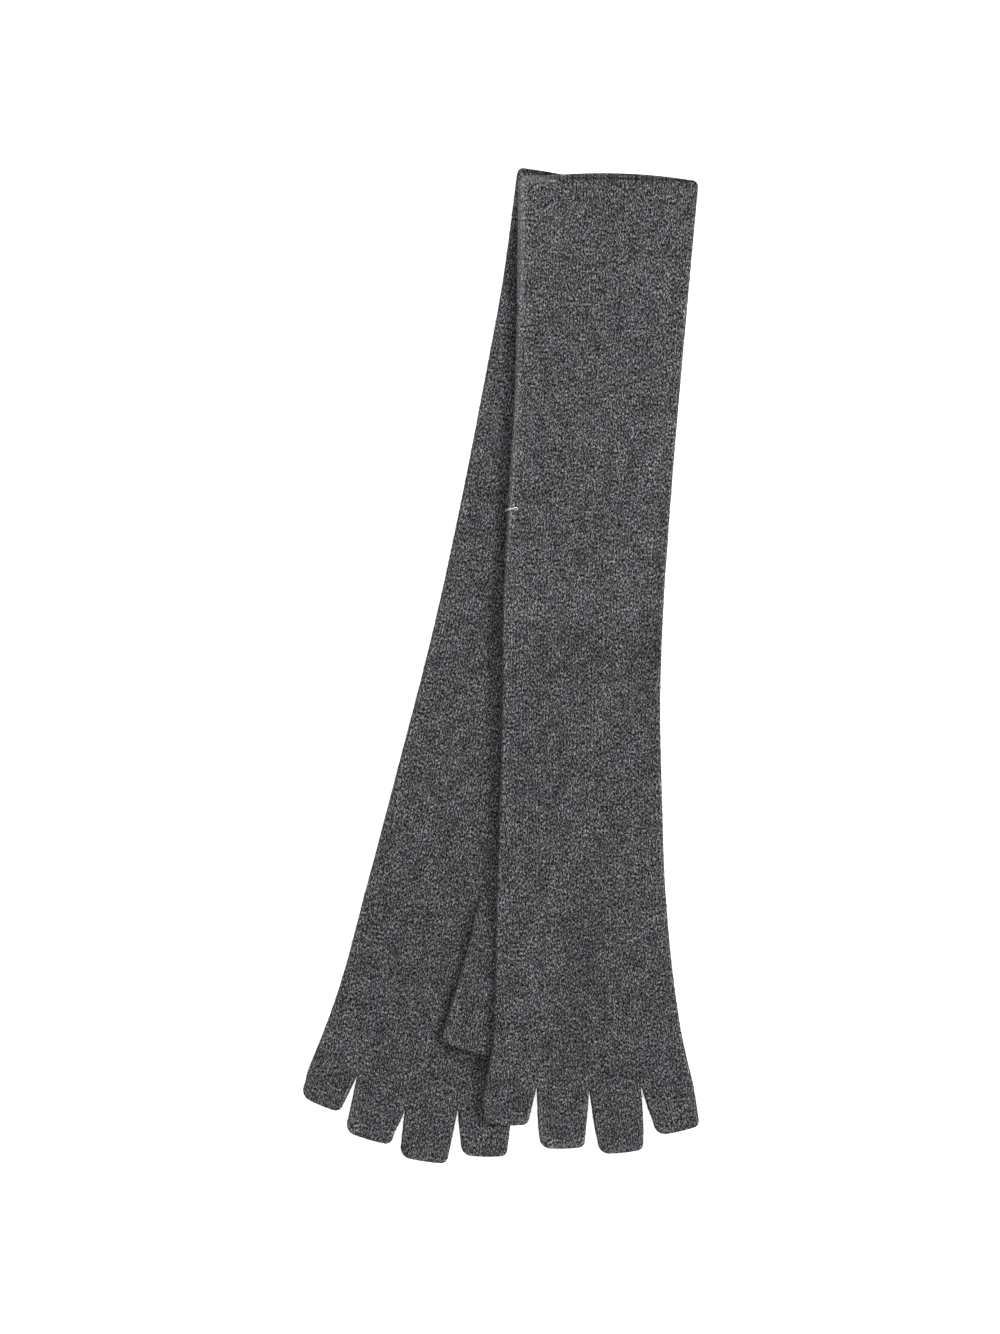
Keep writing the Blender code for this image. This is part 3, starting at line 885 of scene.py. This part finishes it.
def fibre_template():
    """One end of wool, from -1 to 1 along Z: three sides that meet at its two tips."""
    bm = bmesh.new()
    bmesh.ops.create_uvsphere(bm, u_segments=3, v_segments=2, radius=1.0)
    verts = np.array([vert.co for vert in bm.verts])
    faces = np.array([[vert.index for vert in face.verts] for face in bm.faces])
    bm.free()
    return verts, faces


def fibres_on(cloth, tree, glove, kind, count, rng, template):
    """The corners of one kind's fibres on one piece of cloth, and each corner's shade."""
    at, out, cut_at = cloth_samples(cloth, rng, count)
    ahead, _ = glove.axes(cut_at[:, 1])
    aside = unit(np.cross(out, np.column_stack([ahead, np.zeros(count)])))
    ahead = np.cross(aside, out)
    turn = rng.normal(0.0, math.radians(NAP_TURN), count)
    turn += math.pi * rng.integers(0, 2, count)
    flat = ahead * np.cos(turn)[:, None] + aside * np.sin(turn)[:, None]
    lift = np.radians(np.abs(rng.normal(0.0, kind.lift, count)))
    run = flat * np.cos(lift)[:, None] + out * np.sin(lift)[:, None]
    length = kind.length * rng.uniform(*NAP_LENGTHS, count)
    length *= 1 - (1 - NAP_AT_CUFF) * fall(cut_at[:, 1], NAP_CUFF_RUN)
    tip = at + run * length[:, None]
    off = np.array([tree.find_nearest(Vector(point))[3] for point in tip.tolist()])
    length *= np.minimum(1.0, NAP_REACH / np.maximum(off, NO_GAP))
    side = unit(np.cross(run, out))
    up = np.cross(side, run)
    bend = kind.bend * length * rng.normal(0.0, 1.0, count)
    half = kind.thickness / 2 * rng.uniform(*NAP_THICKNESSES, count)
    x, y, z = template.T
    start = at - out * NAP_ROOT
    corners = (
        start[:, None]
        + run[:, None] * (length[:, None] * (z + 1) / 2)[..., None]
        + side[:, None] * (half[:, None] * x + bend[:, None] * (1 - z**2))[..., None]
        + up[:, None] * (half[:, None] * y + NAP_ROOT * (1 - z**2))[..., None]
    )
    shade = rng.beta(*NAP_SHADES, count) * (1 - kind.light) + kind.light
    from_fold = glove.half_width(cut_at[:, 1]) - np.abs(cut_at[:, 0])
    # The fibres take part of the cloth's painted highlights and painted shade
    painted_lightness = glove.painted_lightness(cut_at[:, 1], cut_at[:, 0], from_fold, 1)
    shade += EVENED_SHARE * smooth_step((painted_lightness - EVENED_FROM) / EVENED_RUN) * (NAP_EVEN - shade)
    shade += NAP_PAINTED_LIGHT * np.minimum(painted_lightness, NAP_PAINTED_LIGHT_MOST)
    return corners.reshape(-1, 3), np.repeat(np.clip(shade, 0.0, 1.0), len(template))


def nap_mesh(name, glove, cloths):
    """The ends of wool on a glove's pieces of cloth, joined into one piece."""
    rng = np.random.default_rng(NAP_SEED)
    template, template_faces = fibre_template()
    tree = surface_tree(cloths)
    areas = np.array([sum(face.area for face in cloth.data.polygons) for cloth in cloths])
    fibres = [
        fibres_on(cloth, tree, glove, kind, int(kind.count * share), rng, template)
        for kind in NAPS
        for cloth, share in zip(cloths, areas / areas.sum())
    ]
    verts = np.vstack([corners for corners, _ in fibres])
    verts[:, 2] = np.maximum(verts[:, 2], NAP_FLOOR + NAP_FLOOR * (np.arange(len(verts)) % 2))
    firsts = np.arange(0, len(verts), len(template))
    faces = template_faces[None] + firsts[:, None, None]
    mesh = bpy.data.meshes.new(name)
    mesh.from_pydata(verts, [], faces.reshape(-1, 3))
    shades = mesh.attributes.new("shade", "FLOAT", "POINT")
    shades.data.foreach_set("value", np.concatenate([shade for _, shade in fibres]))
    mesh.shade_smooth()
    return placed(name, mesh)


def tack(height_at):
    """Two plies of white thread, laid round each other, whose ends go into the cloth."""
    line = smooth_curve(TACK_PATH, TACK_SPACING) * MM
    travelled = np.concatenate([[0], np.cumsum(np.linalg.norm(np.diff(line, axis=0), axis=1))])
    ahead = np.gradient(line, travelled, axis=0)
    aside = np.column_stack([-ahead[:, 1], ahead[:, 0]])
    above = np.array([height_at(x, y) for x, y in line]) + TACK_THICKNESS
    from_end = np.minimum(travelled, travelled[-1] - travelled)
    above -= TACK_DEPTH * fall(from_end, TACK_DIVE)
    curve = bpy.data.curves.new("tack_thread", "CURVE")
    curve.dimensions = "3D"
    curve.bevel_depth = TACK_THICKNESS / 2
    curve.bevel_resolution = 2
    curve.use_fill_caps = True
    for ply in (0.0, math.pi):
        phase = ply + travelled * 2 * math.pi / TACK_TWIST
        across = aside * (TACK_THICKNESS / 2 * np.cos(phase))[:, None]
        points = np.column_stack([line + across, above + TACK_THICKNESS / 2 * np.sin(phase)])
        spline = curve.splines.new("POLY")
        spline.points.add(len(points) - 1)
        spline.points.foreach_set("co", np.column_stack([points, np.ones(len(points))]).ravel())
    thread = placed("tack_thread", curve)
    mesh = bpy.data.meshes.new_from_object(thread)
    bpy.data.objects.remove(thread)
    return placed("tack_thread", mesh)


# ---------------------------------------------------------------------------------------
# Materials


class Nodes:
    """Short ways to add and join a material's nodes."""

    def __init__(self, name):
        self.material = bpy.data.materials.new(name)
        self.material.use_nodes = True
        self.tree = self.material.node_tree
        self.shader = self.tree.nodes["Principled BSDF"]

    def feed(self, node, inputs):
        """Set a node's inputs, or join them to other nodes' outputs."""
        for key, value in inputs.items():
            if isinstance(value, bpy.types.NodeSocket):
                self.tree.links.new(value, node.inputs[key])
            else:
                node.inputs[key].default_value = value

    def add(self, kind, inputs=(), **settings):
        node = self.tree.nodes.new(kind)
        for key, value in settings.items():
            setattr(node, key, value)
        self.feed(node, dict(inputs))
        return node

    def math(self, operation, first, second=0.0):
        return self.add("ShaderNodeMath", {0: first, 1: second}, operation=operation).outputs[0]

    def noise(self, vector, scale, detail=1.0, roughness=0.5):
        inputs = {"Vector": vector, "Scale": scale, "Detail": detail, "Roughness": roughness}
        return self.add("ShaderNodeTexNoise", inputs).outputs["Fac"]

    def stretched(self, vector, stretch, turn=0.0):
        """The coordinates turned, in degrees, and stretched along their second axis."""
        inputs = {"Vector": vector, "Rotation": (0, 0, math.radians(turn))}
        turned = self.add("ShaderNodeMapping", inputs).outputs[0]
        inputs = {"Vector": turned, "Scale": (1.0, 1.0 / stretch, 1.0)}
        return self.add("ShaderNodeMapping", inputs).outputs[0]

    def between(self, value, low, high, to_low, to_high):
        """The value's way from low to high, as one from to_low to to_high."""
        keys = ("Value", "From Min", "From Max", "To Min", "To Max")
        inputs = dict(zip(keys, (value, low, high, to_low, to_high)))
        return self.add("ShaderNodeMapRange", inputs).outputs[0]

    def mix(self, share, first, second, blend="MIX"):
        inputs = {0: share, 6: first, 7: second}
        node = self.add("ShaderNodeMix", inputs, data_type="RGBA", blend_type=blend)
        return node.outputs[2]

    def ramp(self, value, stops):
        """The colour of a few stops, or between two of them, at a value."""
        node = self.add("ShaderNodeValToRGB", {"Fac": value})
        elements = node.color_ramp.elements
        while len(elements) < len(stops):
            elements.new(0.5)
        for element, (position, color) in zip(elements, stops):
            element.position = position
            element.color = color
        return node.outputs[0]


def grey(value):
    """The wool's own grey, this light."""
    return (*(value * share for share in COOL), 1.0)


def heather_wool(name):
    """Brushed wool in a melange of dark and light fibres, with faint wales along the glove, and
    painted highlights and painted shade.
    """
    n = Nodes(name)
    cut = n.add("ShaderNodeUVMap", uv_map="cut").outputs[0]
    solid = n.add("ShaderNodeTexCoord").outputs["Object"]
    grain = n.noise(n.stretched(cut, GRAIN_STRETCH), GRAIN_SCALE)
    tone = n.math("MULTIPLY", grain, GRAIN_SHARE)
    for turn in FLECK_TURNS:
        fleck = n.noise(n.stretched(cut, FLECK_STRETCH, turn), FLECK_SCALE)
        tone = n.math("ADD", tone, n.math("MULTIPLY", fleck, FLECK_SHARE))
    across = n.add("ShaderNodeSeparateXYZ", {"Vector": cut}).outputs["X"]
    wander = n.noise(n.stretched(cut, DRIFT_STRETCH), WALE_DRIFT.scale)
    drift = n.between(wander, *NOISE_RANGE, WALE_DRIFT.low, WALE_DRIFT.high)
    phase = n.math("ADD", n.math("MULTIPLY", across, 2 * math.pi / WALE), drift)
    wales = n.between(n.math("SINE", phase), -1.0, 1.0, -WALE_TONE, WALE_TONE)
    tone = n.math("ADD", tone, wales)
    color = n.ramp(tone, [(stop.at, grey(stop.value)) for stop in WOOL_GREYS])
    spots = n.stretched(cut, GRAIN_STRETCH)
    patches = n.noise(spots, MOTTLE.scale, MOTTLE_DETAIL, MOTTLE_ROUGHNESS)
    mottle = n.between(patches, *NOISE_RANGE, MOTTLE.low, MOTTLE.high)
    broad = n.between(n.noise(solid, BROAD.scale), *NOISE_RANGE, BROAD.low, BROAD.high)
    color = n.mix(1.0, color, n.math("MULTIPLY", mottle, broad), "MULTIPLY")
    color = n.mix(1.0, color, n.ramp(n.noise(solid, TINT_SCALE), TINTS), "MULTIPLY")
    # This attribute carries painted highlights and painted shade, and a few lighter or darker
    # patches
    painted_light = n.add("ShaderNodeAttribute", attribute_name="painted_light").outputs["Fac"]
    evened = n.between(painted_light, EVENED_FROM, EVENED_FROM + EVENED_RUN, 0.0, EVENED_SHARE)
    color = n.mix(evened, color, grey(EVENED_TONE))
    lightness = n.between(painted_light, -1.0, 1.0, 1.0 - PAINTED_LIGHT_GAIN, 1.0 + PAINTED_LIGHT_GAIN)
    color = n.mix(1.0, color, lightness, "MULTIPLY")
    bump = n.add("ShaderNodeBump", {"Height": tone, **WOOL_BUMP}).outputs[0]
    n.feed(n.shader, {"Base Color": color, "Normal": bump, **WOOL_FINISH})
    return n.material


def nap_wool(name):
    """Single dark and light fibres of the same wool."""
    n = Nodes(name)
    shade = n.add("ShaderNodeAttribute", attribute_name="shade").outputs["Fac"]
    color = n.ramp(shade, [(stop.at, grey(stop.value)) for stop in NAP_GREYS])
    n.feed(n.shader, {"Base Color": color, **NAP_FINISH})
    return n.material


def plain(name, finish):
    """A material that is the same all over."""
    n = Nodes(name)
    n.feed(n.shader, finish)
    return n.material


def studio():
    """A white table, soft light from all round, more of it from the upper right, and a camera."""
    bm = bmesh.new()
    bmesh.ops.create_grid(bm, x_segments=1, y_segments=1, size=TABLE_REACH)
    mesh = bpy.data.meshes.new("table")
    bm.to_mesh(mesh)
    bm.free()
    mesh.materials.append(plain("white table", TABLE_FINISH))
    mesh.transform(Matrix.Translation((0, 0, -TABLE_DROP)))
    placed("table", mesh)

    world = bpy.data.worlds.new("room")
    world.use_nodes = True
    background = world.node_tree.nodes["Background"]
    background.inputs["Color"].default_value = (1, 1, 1, 1)
    background.inputs["Strength"].default_value = ROOM_LIGHT
    bpy.context.scene.world = world

    lamp = bpy.data.lights.new("key", "AREA")
    lamp.shape = "DISK"
    lamp.size = KEY_SIZE
    lamp.energy = KEY_POWER
    key = placed("key", lamp)
    key.location = KEY_PLACE
    key.rotation_euler = (-Vector(KEY_PLACE)).to_track_quat("-Z", "Y").to_euler()

    lens = bpy.data.cameras.new("camera")
    lens.sensor_fit = "VERTICAL"
    lens.sensor_height = SENSOR
    lens.lens = SENSOR * CAMERA_HEIGHT / VIEW_HEIGHT
    camera = placed("camera", lens)
    camera.location = (*VIEW_MIDDLE, CAMERA_HEIGHT)
    bpy.context.scene.camera = camera
    bpy.context.scene.view_settings.view_transform = "Standard"


def thumb_area(glove):
    """The cloth in the thumb, all round, laid out flat."""
    along = np.linspace(THUMB_OPENING[0], THUMB_END, AREA_STEPS) * MM
    left, right = glove.thumb_edges(along)
    return 2 * float(np.mean(right - left)) * (along[-1] - along[0])


def main():
    left = Glove(LEFT_LAY, LEFT_PULLS, LEFT_CREASES, LEFT_BENDS, LEFT_PAINTED_LIGHTS, LEFT_PALE)
    right = Glove(RIGHT_LAY, RIGHT_PULLS, RIGHT_CREASES, RIGHT_BENDS, RIGHT_PAINTED_LIGHTS, RIGHT_PALE)
    wool = heather_wool("heather wool")
    loose = nap_wool("nap of loose wool")
    gloves = []
    for glove, height in ((left, on_surface), (right, on_left_glove(left, right))):
        side = glove.lay.side
        cloth = glove_cloth(glove, height)
        thumb = thumb_cloth(glove)
        nap = nap_mesh(side + "_nap", glove, (cloth, thumb))
        fingers = [f"{side}_{finger.name}_finger" for finger in glove.lay.fingers]
        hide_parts(side + "_arm_and_hand", *fingers)
        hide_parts(side + "_thumb")
        for piece, material in ((cloth, wool), (thumb, wool), (nap, loose)):
            piece.data.materials.append(material)
            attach(piece, "root")
        thumb_area(glove)
        gloves.append(cloth)
    thread = tack(top_of(*gloves))
    thread.data.materials.append(plain("white tacking thread", TACK_FINISH))
    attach(thread, "root")
    studio()


main()
